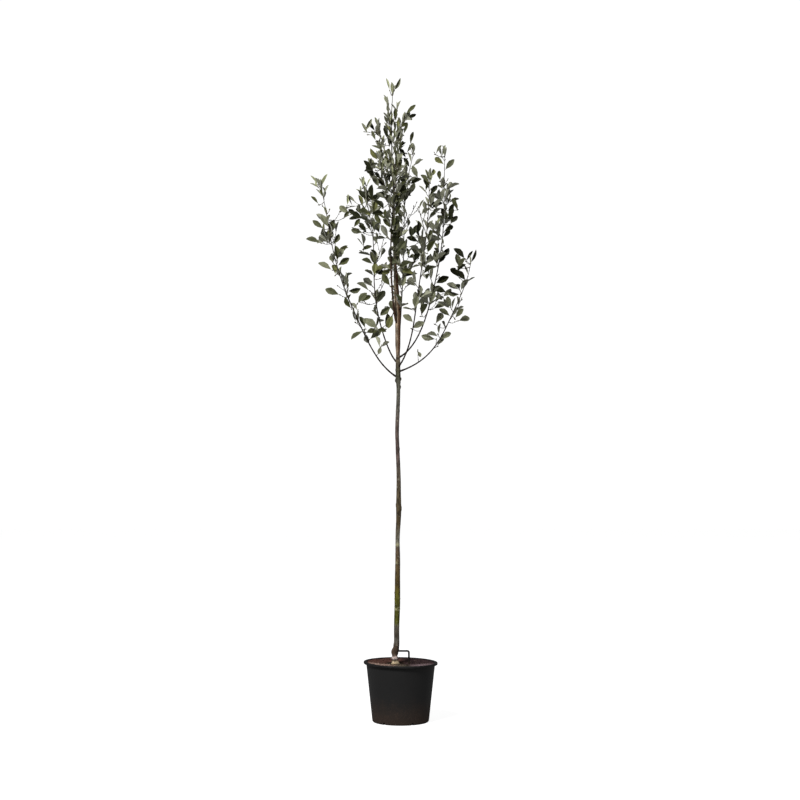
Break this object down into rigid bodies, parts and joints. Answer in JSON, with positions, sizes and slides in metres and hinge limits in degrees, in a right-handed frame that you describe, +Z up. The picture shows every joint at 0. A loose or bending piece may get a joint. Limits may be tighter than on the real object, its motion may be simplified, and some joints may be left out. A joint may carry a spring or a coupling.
{
  "type": "potted whitebeam",
  "caption": "Young standard tree with a slim clear stem, upswept boughs and an open, narrow crown of oval grey-green leaves, growing in a black nursery pot.",
  "frame": {"origin": "middle of the pot's flat underside", "axes": "+Z up along the stem, -Y towards the front view, +X to the right in that view"},
  "size_m": [0.6664, 0.4901, 2.5624],
  "materials": {
    "pot_plastic": "satin",
    "peg_plastic": "satin",
    "compost": "matte",
    "trunk_bark": "matte",
    "bough_bark": "matte",
    "foliage": "matte"
  },
  "bodies": {
    "root": {"pot": "pot_plastic", "compost": "compost", "drip_peg": "peg_plastic", "trunk": "trunk_bark", "bough_left_low": "bough_bark", "bough_left_inner": "bough_bark", "bough_right_front": "bough_bark", "bough_right_back": "bough_bark", "bough_right_low": "bough_bark", "bough_front": "bough_bark", "bough_back": "bough_bark", "foliage_left_low": "foliage", "foliage_left_inner": "foliage", "foliage_right_front": "foliage", "foliage_right_back": "foliage", "foliage_right_low": "foliage", "foliage_front": "foliage", "foliage_back": "foliage", "leader_shoot_01": "foliage", "leader_shoot_02": "foliage", "leader_shoot_03": "foliage", "leader_shoot_04": "foliage", "leader_shoot_05": "foliage", "leader_shoot_06": "foliage", "leader_shoot_07": "foliage", "leader_shoot_08": "foliage", "leader_shoot_09": "foliage", "leader_shoot_10": "foliage", "leader_shoot_11": "foliage", "leader_shoot_12": "foliage", "leader_spur_01": "foliage", "leader_spur_02": "foliage", "leader_spur_03": "foliage", "leader_spur_04": "foliage", "leader_spur_05": "foliage", "leader_spur_06": "foliage", "leader_spur_07": "foliage", "leader_spur_08": "foliage", "leader_spur_09": "foliage", "leader_spur_10": "foliage", "leader_spur_11": "foliage", "leader_spur_12": "foliage", "leader_spur_13": "foliage", "leader_spur_14": "foliage", "leader_tip": "foliage"}
  },
  "joints": []
}
